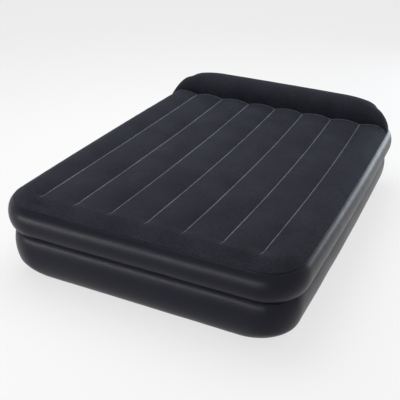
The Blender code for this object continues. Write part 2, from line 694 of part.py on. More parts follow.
def make_valve(frame):
    """A plugged tube from the panel to the air, with a rubber flap at its inner end."""
    at = (VALVE_X, VALVE_Y, 0)
    seat = GAP + FLANGE_THICKNESS
    tail = -PUMP_DEPTH - VALVE_TAIL
    turned("valve_tube",
           [(VALVE_RADIUS, VALVE_NECK), (VALVE_RADIUS, seat), (VALVE_FLANGE, seat), (VALVE_FLANGE, GAP),
            (VALVE_RADIUS, GAP), (VALVE_RADIUS, tail), (VALVE_BORE, tail), (VALVE_BORE, VALVE_NECK)],
           finish=PLASTIC, parent=frame, at=at, ring=True)
    low = VALVE_NECK + GAP
    plug = VALVE_BORE - GAP
    turned("valve_cap",
           [(0, low + CAP_HEIGHT), (CAP_RADIUS - 0.002, low + CAP_HEIGHT), (CAP_RADIUS, low + CAP_HEIGHT - 0.002),
            (CAP_RADIUS, low), (plug, low), (plug, low - PLUG_DEPTH), (0, low - PLUG_DEPTH)],
           finish=RUBBER, parent=frame, at=at)
    make_flap("valve_flap", frame, VALVE_X, VALVE_Y, VALVE_RADIUS, tail)
    make_flap("outlet_flap", frame, OUTLET_X, OUTLET_Y, OUTLET_RADIUS + FLAP_MARGIN, -PUMP_DEPTH)


def make_flap(name, frame, x, y, radius, seat):
    """A rubber disc behind an air port, with a square hinge tab at its top."""
    hinge = radius + 0.003
    front = seat - GAP
    back = front - FLAP_THICKNESS
    half_tab = math.radians(30)
    edge = []
    for step in range(ROUND_STEPS + 1):
        angle = math.pi / 2 + half_tab + step / ROUND_STEPS * (2 * math.pi - 2 * half_tab)
        edge.append((x + radius * math.cos(angle), y + radius * math.sin(angle)))
    reach = radius * math.sin(half_tab)
    edge += [(x + reach, y + hinge), (x - reach, y + hinge)]
    slab(name, [edge], back, front, finish=RUBBER, parent=frame,
         at=(x, y + hinge, (front + back) / 2))


def make_blower(frame):
    """Fan in a round scroll, on the shaft of a motor that a flanged sleeve holds."""
    at = (FAN_X, FAN_Y, 0)
    hole = MOTOR_SHAFT_RADIUS + 0.0015
    scroll = turned("fan_scroll",
                    [(SCROLL_RADIUS, SCROLL_FRONT), (SCROLL_RADIUS, SCROLL_BACK), (hole, SCROLL_BACK),
                     (hole, SCROLL_BACK + SCROLL_WALL), (SCROLL_RADIUS - SCROLL_WALL, SCROLL_BACK + SCROLL_WALL),
                     (SCROLL_RADIUS - SCROLL_WALL, SCROLL_FRONT)],
                    finish=GREY_PLASTIC, parent=frame, at=at, ring=True)
    window_x = FAN_X + SCROLL_RADIUS * 0.7
    window_y = FAN_Y - SCROLL_RADIUS * 0.7
    window = slab("scroll_window", [rounded_box(window_x, window_y, 0.030, 0.030, 0.002, 2)],
                  SCROLL_BACK + 2 * SCROLL_WALL, SCROLL_FRONT - 2 * SCROLL_WALL, group=CUTTERS, parent=frame)
    combine(scroll, window, "DIFFERENCE")
    slab("scroll_cover", [circle(FAN_X, FAN_Y, SCROLL_RADIUS), circle(FAN_X, FAN_Y, INLET_RADIUS)],
         SCROLL_FRONT + GAP, SCROLL_FRONT + GAP + SCROLL_WALL, finish=GREY_PLASTIC, parent=frame)

    plate_back = FAN_BACK
    plate_front = FAN_BACK + 0.002
    fan = slab("impeller", [blade_outline()], plate_front - 0.001, FAN_FRONT, finish=GREY_PLASTIC,
               parent=frame, at=at)
    back_plate = slab("fan_back_plate", [circle(FAN_X, FAN_Y, FAN_RADIUS)], plate_back, plate_front,
                      group=CUTTERS, parent=frame)
    combine(fan, back_plate, "UNION")
    bore = slab("fan_bore", [circle(FAN_X, FAN_Y, MOTOR_SHAFT_RADIUS + GAP, 16)], plate_back - 0.01,
                FAN_FRONT + 0.01, group=CUTTERS, parent=frame)
    combine(fan, bore, "DIFFERENCE")

    motor_front = SCROLL_BACK - 0.0035
    motor_back = motor_front - MOTOR_LENGTH
    bore_end = motor_front - 0.016
    shaft_end = bore_end + GAP
    turned("motor_shaft",
           [(0, FAN_FRONT), (MOTOR_SHAFT_RADIUS, FAN_FRONT), (MOTOR_SHAFT_RADIUS, shaft_end), (0, shaft_end)],
           finish=STEEL, parent=frame, at=at, steps=16)
    motor_bore = MOTOR_SHAFT_RADIUS + GAP
    turned("motor",
           [(0, bore_end), (motor_bore, bore_end), (motor_bore, motor_front), (MOTOR_RADIUS, motor_front),
            (MOTOR_RADIUS, motor_back), (0, motor_back)],
           finish=STEEL, parent=frame, at=at)
    sleeve = MOTOR_RADIUS + GAP
    flange_top = SCROLL_BACK - GAP
    floor = -PUMP_DEPTH + HOUSING_WALL + GAP
    turned("motor_mount",
           [(SCROLL_RADIUS - 0.002, flange_top), (SCROLL_RADIUS - 0.002, flange_top - 0.002),
            (sleeve + 0.0025, flange_top - 0.002), (sleeve + 0.0025, floor), (sleeve, floor), (sleeve, flange_top)],
           finish=PLASTIC, parent=frame, at=at, ring=True)


def blade_outline():
    """Hub with swept blades, as one closed outline."""
    points = []
    pitch = 2 * math.pi / BLADE_COUNT
    thickness = 0.0016
    for number in range(BLADE_COUNT):
        root = number * pitch
        for radius, side in ((FAN_HUB, -1), (FAN_RADIUS, -1), (FAN_RADIUS, 1), (FAN_HUB, 1)):
            sweep = BLADE_SWEEP * (radius - FAN_HUB) / (FAN_RADIUS - FAN_HUB)
            angle = root + sweep + side * thickness / 2 / radius
            points.append((FAN_X + radius * math.cos(angle), FAN_Y + radius * math.sin(angle)))
        middle = root + pitch / 2
        points.append((FAN_X + FAN_HUB * math.cos(middle), FAN_Y + FAN_HUB * math.sin(middle)))
    return points


make_top_sheet()
make_pillow_shell()
lower_side_wall = make_walls()
make_flat_sheets()
make_beams()

pump_frame = make_pump_frame()
make_collar(pump_frame, lower_side_wall)
make_face_plate(pump_frame)
make_housing(pump_frame)
make_screws(pump_frame)
make_cord_bay(pump_frame)
make_cord_door(pump_frame)
make_dial(pump_frame)
make_switch(pump_frame)
make_valve(pump_frame)
make_blower(pump_frame)
bpy.context.view_layer.update()
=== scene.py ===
# %% [markdown]
# # A raised air bed with a pillow rise
# The bed is two tiers of smooth film under a flocked top.  Eight air channels run
# along the top, a flocked pillow crosses the head end, and an electric pump sits
# in the wall at the head.  This lesson loads the engineer's solids as a fixed
# frame and dresses them: the soft films are remade as fine meshes, and the hard
# pieces of the pump keep their shape and get moulded finishes.

# %% Load the frame
import json
import math

import bmesh
import bpy
from mathutils import Matrix, Vector, noise
from mathutils.geometry import interpolate_bezier


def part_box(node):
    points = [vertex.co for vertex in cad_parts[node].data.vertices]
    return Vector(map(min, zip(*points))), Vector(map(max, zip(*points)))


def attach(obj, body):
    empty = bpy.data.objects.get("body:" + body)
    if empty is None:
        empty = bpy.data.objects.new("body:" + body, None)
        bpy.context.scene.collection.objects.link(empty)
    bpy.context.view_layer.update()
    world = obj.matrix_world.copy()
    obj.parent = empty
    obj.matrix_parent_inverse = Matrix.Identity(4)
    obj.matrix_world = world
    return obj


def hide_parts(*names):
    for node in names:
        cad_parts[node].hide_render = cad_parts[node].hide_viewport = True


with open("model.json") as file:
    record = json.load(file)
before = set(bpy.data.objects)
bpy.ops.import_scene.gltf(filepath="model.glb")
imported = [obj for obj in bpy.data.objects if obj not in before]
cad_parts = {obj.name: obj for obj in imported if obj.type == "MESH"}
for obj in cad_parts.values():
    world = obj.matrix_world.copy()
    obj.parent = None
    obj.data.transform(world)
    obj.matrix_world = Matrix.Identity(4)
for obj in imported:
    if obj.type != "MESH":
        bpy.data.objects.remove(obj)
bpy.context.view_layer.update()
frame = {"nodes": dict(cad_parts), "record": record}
nodes = frame["nodes"]
scene = bpy.context.scene
print("frame loaded:", len(nodes), "nodes")

# %% [markdown]
# ## The bed's sizes
# Every soft piece is laid out from the boxes of the frame's nodes, so it lies
# where its solid lies.  The plan outline is a rectangle with round corners, and
# `inset` says how far a line of the bed lies inside the widest outline.

# %% Sizes from the frame
wall_low, wall_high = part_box("upper_side_wall")
top_low, top_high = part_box("top_sheet")
pillow_low, pillow_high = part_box("pillow_shell")
divider_low, divider_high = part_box("divider_sheet")
bottom_low, bottom_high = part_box("bottom_sheet")
lower_low, lower_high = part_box("lower_side_wall")
collar_low, collar_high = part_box("port_collar")
plate_low, plate_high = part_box("face_plate")

HALF_WIDTH, HALF_LENGTH = wall_high[0], wall_high[1]
CORNER = 0.200            # corner radius of the widest outline
CORNER_EASE = 1.8         # extra corner radius per metre that a line lies inside the waist
SIDE_BOW = 0.012          # how far the long sides bow out at mid length
SKIN = 0.0012             # film thickness of the fine meshes
SEAM_INSET = HALF_LENGTH - top_high[1]
SEAM_X, SEAM_Y = HALF_WIDTH - SEAM_INSET, top_high[1]
SEAM_CORNER = CORNER - SEAM_INSET
BOTTOM_INSET = HALF_LENGTH - bottom_high[1]
LOWER_INSET = HALF_LENGTH - lower_high[1]
WAIST_INSET = HALF_LENGTH - divider_high[1] + 0.003
SEAM_Z = wall_high[2]
WAIST_Z = divider_high[2]
CROWN_Z = top_high[2]
PILLOW_FRONT = pillow_low[1]
print(f"bed {2 * HALF_WIDTH:.3f} x {2 * HALF_LENGTH:.3f} m, seam at {SEAM_Z:.3f} m")

# %% [markdown]
# ## Finishes
# Each finish is a small node tree.  They all share the same start, so a helper
# makes the Principled shader and hands back short ways to add nodes to it.


# %% A helper for node trees
class Finish:
    """A Principled material with short calls for its texture nodes."""

    def __init__(self, name, colour, roughness, metallic=0.0, **sockets):
        self.material = bpy.data.materials.new(name)
        self.material.use_nodes = True
        self.nodes = self.material.node_tree.nodes
        self.links = self.material.node_tree.links
        self.shader = self.nodes["Principled BSDF"]
        self.set(self.shader, {"Base Color": (*colour, 1), "Roughness": roughness, "Metallic": metallic})
        self.set(self.shader, sockets)
        self.place = self.nodes.new("ShaderNodeTexCoord").outputs["Object"]

    def set(self, node, values):
        for name, value in values.items():
            node.inputs[name.replace("_", " ")].default_value = value

    def noise(self, scale, detail=3.0, stretch=(1, 1, 1)):
        mapping = self.nodes.new("ShaderNodeMapping")
        mapping.inputs["Scale"].default_value = stretch
        self.links.new(self.place, mapping.inputs["Vector"])
        texture = self.nodes.new("ShaderNodeTexNoise")
        self.set(texture, {"Scale": scale, "Detail": detail})
        self.links.new(mapping.outputs["Vector"], texture.inputs["Vector"])
        return texture.outputs["Fac"]

    def ramp(self, value, *stops):
        """A colour ramp; each stop is (position, (r, g, b))."""
        ramp = self.nodes.new("ShaderNodeValToRGB")
        self.links.new(value, ramp.inputs["Fac"])
        points = ramp.color_ramp.elements
        while len(points) < len(stops):
            points.new(0.5)
        for point, (position, colour) in zip(points, stops):
            point.position = position
            point.color = (*colour, 1)
        return ramp.outputs["Color"]

    def blend(self, share, first, second, mode="MIX"):
        mix = self.nodes.new("ShaderNodeMix")
        mix.data_type = "RGBA"
        mix.blend_type = mode
        for socket, value in ((mix.inputs[0], share), (mix.inputs[6], first), (mix.inputs[7], second)):
            self.feed(socket, value)
        return mix.outputs[2]

    def span(self, value, low, high):
        """Spread a 0 to 1 value over low to high."""
        spread = self.nodes.new("ShaderNodeMapRange")
        self.links.new(value, spread.inputs["Value"])
        self.set(spread, {"To_Min": low, "To_Max": high})
        return spread.outputs["Result"]

    def feed(self, socket, value):
        if isinstance(value, bpy.types.NodeSocket):
            self.links.new(value, socket)
        else:
            socket.default_value = (*value, 1) if isinstance(value, tuple) else value

    def colour(self, value):
        self.feed(self.shader.inputs["Base Color"], value)

    def roughness(self, value):
        self.feed(self.shader.inputs["Roughness"], value)

    def bump(self, height, distance, strength=1.0):
        """Add a bump; a second call rides on the first."""
        bump = self.nodes.new("ShaderNodeBump")
        self.set(bump, {"Strength": strength, "Distance": distance})
        self.links.new(height, bump.inputs["Height"])
        before = self.shader.inputs["Normal"].links
        if before:
            self.links.new(before[0].from_socket, bump.inputs["Normal"])
        self.links.new(bump.outputs["Normal"], self.shader.inputs["Normal"])


# %% [markdown]
# Flock is a pile of very short fibres.  It has no highlight, but a soft sheen at
# glancing angles, and it lies in slightly different directions from place to
# place, which shows as broad, cloudy changes of shade.

# %% Flock
def flock(name, dark, light):
    finish = Finish(name, dark, 0.92, Sheen_Weight=0.06, Sheen_Roughness=0.5,
                    Sheen_Tint=(0.62, 0.68, 0.85, 1), Specular_IOR_Level=0.10)
    nap = finish.ramp(finish.noise(5.0, 4.0), (0.34, dark), (0.68, light))
    mottle = finish.ramp(finish.noise(170, 3.0), (0.36, (0.52, 0.52, 0.54)), (0.64, (1, 1, 1)))
    speckle = finish.ramp(finish.noise(900, 2.0), (0.3, (0.62, 0.62, 0.64)), (0.7, (1, 1, 1)))
    finish.colour(finish.blend(1.0, finish.blend(1.0, nap, mottle, "MULTIPLY"), speckle, "MULTIPLY"))
    finish.bump(finish.noise(1400, 2.0), 0.0006, 0.5)
    finish.bump(finish.noise(60, 3.0), 0.0010, 0.25)
    return finish.material


FLOCK = flock("flocked_top", (0.0200, 0.0216, 0.0295), (0.0310, 0.0331, 0.0433))
PRESSED_FLOCK = flock("pressed_flock", (0.178, 0.191, 0.228), (0.277, 0.294, 0.343))

# %% [markdown]
# The side film is soft vinyl with a satin face.  Fine creases and a slow change
# of gloss keep its long highlights from looking like painted metal.

# %% Vinyl
def vinyl(name, colour, gloss):
    finish = Finish(name, colour, gloss, Specular_IOR_Level=0.16)
    pale = tuple(1.5 * part for part in colour)
    finish.colour(finish.ramp(finish.noise(3.0, 3.0), (0.3, colour), (0.8, pale)))
    finish.roughness(finish.span(finish.noise(9.0, 4.0), gloss - 0.05, gloss + 0.07))
    finish.bump(finish.noise(420, 3.0), 0.00025, 0.35)
    finish.bump(finish.noise(16, 4.0, (1, 1, 2.2)), 0.0012, 0.35)
    return finish.material


VINYL = vinyl("side_vinyl", (0.0026, 0.0029, 0.0072), 0.34)
WELD = vinyl("weld_vinyl", (0.0018, 0.0020, 0.0050), 0.34)
INNER = vinyl("inner_film", (0.10, 0.11, 0.13), 0.42)

# %% [markdown]
# The pump is moulded in hard plastic.  Its spark-eroded texture is a fine bump,
# and its gloss changes a little from place to place.

# %% Hard finishes
def moulded(name, colour, roughness, grain=1600):
    finish = Finish(name, colour, roughness, Specular_IOR_Level=0.5)
    pale = tuple(1.35 * part for part in colour)
    finish.colour(finish.ramp(finish.noise(25, 3.0), (0.3, colour), (0.8, pale)))
    finish.roughness(finish.span(finish.noise(40, 3.0), roughness - 0.07, roughness + 0.08))
    finish.bump(finish.noise(grain, 2.0), 0.00012, 0.5)
    return finish.material


def drawn_steel(name):
    finish = Finish(name, (0.52, 0.52, 0.54), 0.28, 1.0)
    finish.roughness(finish.span(finish.noise(60, 3.0, (1, 30, 1)), 0.22, 0.42))
    finish.bump(finish.noise(300, 2.0, (1, 20, 1)), 0.00005, 0.4)
    return finish.material


PLASTIC = moulded("pump_plastic", (0.030, 0.031, 0.038), 0.46)
GREY = moulded("grey_plastic", (0.17, 0.18, 0.20), 0.42)
RUBBER = moulded("rubber", (0.012, 0.012, 0.013), 0.68, 900)
MARK = moulded("mark_paint", (0.42, 0.44, 0.47), 0.50)
STEEL = drawn_steel("steel")
SLOTS = {
    "flocked_top": FLOCK, "side_vinyl": VINYL, "inner_film": INNER, "pump_plastic": PLASTIC,
    "grey_plastic": GREY, "rubber": RUBBER, "steel": STEEL,
}
for part in frame["record"]["subparts"]:
    piece = nodes[part["node"]]
    piece.data.materials.clear()
    piece.data.materials.append(SLOTS[part["material_slot"]])
print("finishes:", ", ".join(SLOTS))

# %% [markdown]
# ## Small tools for meshes
# A film is a grid laid on a formula.  The formula gets a place in the grid and
# gives back a point, and the Solidify modifier gives the film its thickness.


# %% Mesh tools
def settle(item, smooth_angle=50):
    """Turn a piece's modifiers into a plain mesh."""
    depsgraph = bpy.context.evaluated_depsgraph_get()
    mesh = bpy.data.meshes.new_from_object(item.evaluated_get(depsgraph))
    item.modifiers.clear()
    item.data = mesh
    mesh.name = item.name
    mesh.shade_smooth()
    mesh.set_sharp_from_angle(angle=math.radians(smooth_angle))
    return item


def add_piece(name, work, finish):
    """Make an object of a bmesh."""
    mesh = bpy.data.meshes.new(name)
    work.to_mesh(mesh)
    work.free()
    mesh.materials.append(finish)
    item = bpy.data.objects.new(name, mesh)
    scene.collection.objects.link(item)
    return item


def film(name, point, across, along, finish, closed=False, thickness=SKIN):
    """A film on point(i, j) with faces out; closed joins its two sides."""
    work = bmesh.new()
    bmesh.ops.create_grid(work, x_segments=across, y_segments=along, size=0.5)
    for corner in work.verts:
        corner.co = point(round((corner.co.x + 0.5) * across), round((corner.co.y + 0.5) * along))
    if closed:
        bmesh.ops.remove_doubles(work, verts=work.verts[:], dist=0.00005)
    item = add_piece(name, work, finish)
    wall = item.modifiers.new("thickness", "SOLIDIFY")
    wall.thickness = thickness
    wall.offset = -1.0
    return settle(item)


def finish_piece(item, slot, *replaced, body="root", fill=None):
    """Attach a piece to its body and hide the nodes that it stands for; slot is not used."""
    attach(item, body)
    if replaced:
        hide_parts(*replaced)
    print(f"{item.name}: {len(item.data.polygons)} faces")


def eased(value):
    """0 to 1 with a soft start and end."""
    value = min(1.0, max(0.0, value))
    return value * value * (3 - 2 * value)


# %% [markdown]
# ## The plan outline
# A point of the outline is a base point on an inner rectangle and a direction:
# along the sides the base moves, and in a corner the direction turns.

# %% The plan outline
ARC_STEPS = 22
SIDE_STEPS = 60


def outline_stations():
    """(x, y, angle, distance round) of each station, anticlockwise."""
    a, b = HALF_WIDTH - CORNER, HALF_LENGTH - CORNER
    centres = [(a, -b), (a, b), (-a, b), (-a, -b)]
    stations = []
    walked = 0.0
    for number, (x, y) in enumerate(centres):
        start = (number - 1) * math.pi / 2
        for step in range(ARC_STEPS + 1):
            turn = step / ARC_STEPS * math.pi / 2
            stations.append((x, y, start + turn, walked + turn * CORNER))
        walked += CORNER * math.pi / 2
        next_x, next_y = centres[(number + 1) % 4]
        side = math.hypot(next_x - x, next_y - y)
        for step in range(1, SIDE_STEPS):
            part = step / SIDE_STEPS
            place = (x + (next_x - x) * part, y + (next_y - y) * part)
            stations.append((*place, start + math.pi / 2, walked + side * part))
        walked += side
    return stations


STATIONS = outline_stations()


def barrelled(x, y):
    """Air bows the long sides out, so the outline is a little narrower at its ends."""
    return x * (1 - SIDE_BOW / HALF_WIDTH * (y / HALF_LENGTH) ** 2), y


def outline_point(number, inset):
    """A station's place; lines inside the waist, down at the bottom, have rounder corners."""
    x, y, angle, _ = STATIONS[number % len(STATIONS)]
    extra = CORNER_EASE * max(0.0, inset - WAIST_INSET)
    x *= 1 - extra / (HALF_WIDTH - CORNER)
    y *= 1 - extra / (HALF_LENGTH - CORNER)
    reach = CORNER - inset + extra
    return barrelled(x + reach * math.cos(angle), y + reach * math.sin(angle))


def corner_share(number):
    """0 along a straight side, up to 1 in the middle of a corner."""
    angle = STATIONS[number % len(STATIONS)][2] % (math.pi / 2)
    return math.sin(2 * angle) if 0.01 < angle < math.pi / 2 - 0.01 else 0.0


# %% [markdown]
# ## Side walls
# Air pushes each tier's wall out between its two welds.  Near a weld the film
# has more length than it needs, so it gathers in small upright puckers.  They
# are strongest in the corners, where the film bends two ways.

# %% Side walls
WALL_STEPS = 36
SHOULDER = 0.020


def tier_profile(low, high, widest):
    """(inset, z) points up a wall, from the low weld to the high one."""
    handle = (widest - (low[0] + high[0]) / 8) / 0.75
    return interpolate_bezier(
        low, (handle, low[1] + SHOULDER), (handle, high[1] - SHOULDER), high, WALL_STEPS + 1)


def pucker(number, from_weld, seed):
    """Inward push of the gathers at a station, from_weld metres from a weld."""
    place = STATIONS[number % len(STATIONS)]
    around = Vector((math.cos(place[2]), math.sin(place[2]), 0)) * 6 + Vector((place[0], place[1], seed)) * 26
    wave = noise.noise(around) + 0.5 * noise.noise(around * 2.3)
    size = 0.0012 + 0.0030 * corner_share(number)
    return size * wave * math.exp(-from_weld / 0.022) * min(1.0, from_weld / 0.004)


def side_wall(name, low, high, widest, seed):
    profile = tier_profile(low, high, widest)

    def point(i, j):
        inset, z = profile[j]
        inset += pucker(i, z - low[1], seed) + pucker(i, high[1] - z, seed + 7.7)
        x, y = outline_point(i, inset)
        slow = 0.0016 * noise.noise(Vector((x, y, z + seed)) * 4.0)
        x, y = outline_point(i, inset + slow + 0.0016)
        return x, y, z
    return film(name, point, len(STATIONS), WALL_STEPS, VINYL, closed=True)


upper_wall = side_wall("upper_wall_film", (WAIST_INSET, WAIST_Z + 0.0004), (SEAM_INSET, SEAM_Z), 0.0, 1.3)
finish_piece(upper_wall, "side_vinyl", "upper_side_wall")

lower_wall = side_wall("lower_wall_film", (BOTTOM_INSET, bottom_high[2] + 0.0004),
                       (WAIST_INSET, divider_low[2] - 0.0004), LOWER_INSET, 5.9)

# %% [markdown]
# The lower wall has a hole for the pump's collar.  A Boolean cuts it with a block
# of the collar's own outline, a little larger than the collar.


# %% The hole for the pump
def rounded_box(centre_x, centre_z, width, height, radius, steps=8):
    """Points of a rectangle with round corners."""
    points = []
    for number, (side, end) in enumerate(((1, 1), (-1, 1), (-1, -1), (1, -1))):
        for step in range(steps + 1):
            angle = (number + step / steps) * math.pi / 2
            points.append((centre_x + side * (width / 2 - radius) + radius * math.cos(angle),
                           centre_z + end * (height / 2 - radius) + radius * math.sin(angle)))
    return points


COLLAR_X = (collar_low[0] + collar_high[0]) / 2
COLLAR_Z = (collar_low[2] + collar_high[2]) / 2
COLLAR_WIDTH = collar_high[0] - collar_low[0]
COLLAR_HEIGHT = collar_high[2] - collar_low[2]
COLLAR_ROUND = 0.0238


def prism(name, outline, low_y, high_y, finish):
    """A block with an upright outline, from low_y to high_y."""
    work = bmesh.new()
    face = work.faces.new([work.verts.new((x, low_y, z)) for x, z in outline])
    grown = bmesh.ops.extrude_face_region(work, geom=[face])
    moved = [part for part in grown["geom"] if isinstance(part, bmesh.types.BMVert)]
    bmesh.ops.translate(work, verts=moved, vec=(0, high_y - low_y, 0))
    bmesh.ops.recalc_face_normals(work, faces=work.faces[:])
    return add_piece(name, work, finish)


cutter = prism("collar_cutter", rounded_box(
    COLLAR_X, COLLAR_Z, COLLAR_WIDTH + 0.0006, COLLAR_HEIGHT + 0.0006, COLLAR_ROUND + 0.0003),
    collar_low[1], HALF_LENGTH + 0.05, VINYL)
cut = lower_wall.modifiers.new("collar", "BOOLEAN")
cut.object = cutter
cut.operation = "DIFFERENCE"
settle(lower_wall)
bpy.data.objects.remove(cutter)
finish_piece(lower_wall, "side_vinyl", "lower_side_wall")

# %% [markdown]
# ## Flat sheets
# The sheet between the tiers ends in a weld flange that stands out of the waist,
# and the bottom sheet is welded all round its edge.


# %% Flat sheets
def flat_sheet(name, inset, low, high, finish, holes=()):
    work = bmesh.new()
    ring = [work.verts.new((*outline_point(n, inset), low)) for n in range(len(STATIONS))]
    edges = [work.edges.new((ring[n - 1], ring[n])) for n in range(len(ring))]
    for x, y, radius in holes:
        hole = bmesh.ops.create_circle(work, cap_ends=False, segments=24, radius=radius,
                                       matrix=Matrix.Translation((x, y, low)))["verts"]
        edges += list({edge for corner in hole for edge in corner.link_edges})
    bmesh.ops.triangle_fill(work, use_beauty=True, edges=edges, normal=(0, 0, 1))
    bmesh.ops.recalc_face_normals(work, faces=work.faces[:])
    for face in work.faces:
        if face.normal.z < 0:
            face.normal_flip()
    item = add_piece(name, work, finish)
    wall = item.modifiers.new("thickness", "SOLIDIFY")
    wall.thickness = high - low
    wall.offset = 1.0
    return settle(item, 30)


VENTS = [(x, y, 0.030) for x in (-0.36, 0.0, 0.36) for y in (-0.6, 0.0, 0.6)]
waist_sheet = flat_sheet("waist_weld_sheet", WAIST_INSET - 0.003, divider_low[2], divider_high[2], WELD, VENTS)
finish_piece(waist_sheet, "inner_film", "divider_sheet")
base_sheet = flat_sheet("base_sheet", BOTTOM_INSET, bottom_low[2], bottom_high[2], VINYL)
finish_piece(base_sheet, "side_vinyl", "bottom_sheet")

# %% [markdown]
# ## The flocked top
# Seven weld lines pull the top down onto the webs inside, and the air crowns
# the film between them.  The grid has most of its columns beside a weld line,
# where the film turns sharply.  Nominal x and y count on a full rectangle;
# `rounded` draws its corners in, and `bowed` gives the lines their slight bow.

# %% The shape of the top
LINE_PITCH = 0.184
LINE_COUNT = 7
LINE_DEPTH = 0.015
LINE_END = 0.080
LINE_BOW = 0.022
EDGE = 0.075
CROWN = 0.039
RIM_Z = CROWN_Z - CROWN
WELD_LINES = [(n - (LINE_COUNT - 1) / 2) * LINE_PITCH for n in range(LINE_COUNT)]
BESIDE_LINE = [0.0, 0.0025, 0.0055, 0.0105, 0.018, 0.028, 0.041, 0.057, 0.0745, 0.092]


def plan_columns():
    columns = []
    for line in WELD_LINES:
        columns += [line - distance for distance in reversed(BESIDE_LINE[1:-1])]
        columns += [line + distance for distance in BESIDE_LINE]
    first = [SEAM_X * -1 + d for d in (0, 0.003, 0.008, 0.015, 0.024, 0.035, 0.048, 0.062, 0.078)]
    return first + columns[:-1] + [-x for x in reversed(first)]


def spaced(low, high, count):
    return [low + (high - low) * n / count for n in range(count + 1)]


COLUMNS = sorted(set(round(x, 5) for x in plan_columns()))
RIM_ROWS = [0, 0.003, 0.008, 0.015, 0.022, 0.029, 0.036, 0.043, 0.051, 0.060, 0.069]
ROWS = [-SEAM_Y + d for d in RIM_ROWS] + spaced(-SEAM_Y + 0.078, SEAM_Y - 0.078, 150)
ROWS += [SEAM_Y - d for d in reversed(RIM_ROWS)]


def bowed(x, y):
    return x + LINE_BOW * (1 - (x / SEAM_X) ** 4) * (1 - (y / SEAM_Y) ** 2)


def rounded(x, y):
    u = (abs(x) - SEAM_X) / SEAM_CORNER + 1
    v = (abs(y) - SEAM_Y) / SEAM_CORNER + 1
    if u <= 0 or v <= 0:
        return x, y
    scale = max(u, v) / math.hypot(u, v)
    new_x = SEAM_X + (u * scale - 1) * SEAM_CORNER
    new_y = SEAM_Y + (v * scale - 1) * SEAM_CORNER
    return math.copysign(new_x, x), math.copysign(new_y, y)


def rim_gather(x, y, from_rim):
    """Small puckers where the top is gathered into its seam."""
    place = Vector((x, y, 0)) * 24
    wave = noise.noise(place) + 0.5 * noise.noise(place * 2.1)
    return 0.0020 * wave * math.exp(-from_rim / 0.03) * min(1.0, from_rim / 0.01)


def line_gather(x, y, off_line):
    """Fine creases that cross a weld line."""
    wave = noise.noise(Vector((x * 6, y * 55, 2.0)))
    return 0.0014 * wave * math.exp(-((off_line - 0.012) / 0.014) ** 2)


def corner_crease(x, y, from_rim):
    """A shallow fold along the foot rim, beside each corner."""
    if y > 0:
        return 0.0
    beside = math.exp(-((abs(x) - 0.50) / 0.13) ** 2)
    fold = 0.036 + 0.010 * math.sin(7 * x)
    return -0.0100 * beside * math.exp(-((from_rim - fold) / 0.010) ** 2)


def smooth_height(x, y):
    """Height of the top without its weld lines."""
    from_rim = min(SEAM_X - abs(x), SEAM_Y - abs(y))
    return RIM_Z + CROWN * math.sin(min(1.0, from_rim / EDGE) * math.pi / 2)


def top_height(x, y):
    from_rim = min(SEAM_X - abs(x), SEAM_Y - abs(y))
    rise = (smooth_height(x, y) - RIM_Z) / CROWN
    off_line = min(abs(x - line) for line in WELD_LINES)
    groove = max(0.0, 1 - off_line / (LINE_PITCH / 2)) ** 2
    run_out = min(1.0, from_rim / (LINE_END + EDGE / 2)) ** 2
    slow = 0.0015 * noise.noise(Vector((x, y, 0.4)) * 3.0)
    detail = rim_gather(x, y, from_rim) + line_gather(x, y, off_line) * run_out + slow * rise
    detail += corner_crease(x, y, from_rim)
    return smooth_height(x, y) - LINE_DEPTH * groove * run_out + detail


def top_point(x, y):
    return (*barrelled(*rounded(bowed(x, y), y)), top_height(x, y))


# %% Lay the top
flocked_top = film("flocked_top", lambda i, j: top_point(COLUMNS[i], ROWS[j]),
                   len(COLUMNS) - 1, len(ROWS) - 1, FLOCK)
finish_piece(flocked_top, "flocked_top", "top_sheet", fill=0.95)

# %% [markdown]
# ## The pillow
# The pillow is one more flocked film, welded to the top along its front and to
# the seam at its back and ends.  Its height over the top is a hump that stands
# up almost straight at the welds and rounds off at both ends.

# %% The pillow
PILLOW_DEPTH = SEAM_Y - PILLOW_FRONT
PILLOW_LIFT = 0.0030
PILLOW_RISE = pillow_high[2] - CROWN_Z - PILLOW_LIFT
PILLOW_END = 0.32
HUMP = 2.3


def pillow_swell(x, y):
    """0 at the pillow's welds, up to 1 along its crest; the ends round off as an ellipse."""
    depth = min(1.0, max(0.0, (y - PILLOW_FRONT) / PILLOW_DEPTH))
    arch = max(0.0, 1 - abs(2 * depth - 1) ** HUMP) ** (1 / HUMP)
    past = min(1.0, max(0.0, abs(x) - (SEAM_X - PILLOW_END)) / PILLOW_END)
    return arch * max(0.0, 1 - past ** 2) ** 0.5


def pillow_height(x, y):
    swell = pillow_swell(x, y)
    base = top_height(x, y) * (1 - swell) + smooth_height(x, y) * swell
    crease = 0.0022 * noise.noise(Vector((x * 14, y * 30, 3.0))) * math.sin(math.pi * swell)
    sag = 0.005 * (x / SEAM_X) ** 2 * swell
    return base + PILLOW_LIFT + PILLOW_RISE * swell + crease - sag


def pillow_depths(count):
    """Rows close together at the front and back welds."""
    return [PILLOW_FRONT + PILLOW_DEPTH * (1 - math.cos(math.pi * n / count)) / 2 for n in range(count + 1)]


PILLOW_ROWS = pillow_depths(44)


def pillow_point(i, j):
    x, y = COLUMNS[i], PILLOW_ROWS[j]
    px, py, _ = top_point(x, y)
    return px, py, pillow_height(x, y)


pillow = film("pillow_flock", pillow_point, len(COLUMNS) - 1, len(PILLOW_ROWS) - 1, FLOCK)
finish_piece(pillow, "flocked_top", "pillow_shell", fill=0.9)

# %% [markdown]
# ## Weld lines and seams
# Where the film is welded the flock is pressed flat and looks paler.  A small
# Geometry Nodes tree sweeps a round bead along a line of points; it makes the
# weld lines of the top and the beads of the seams.


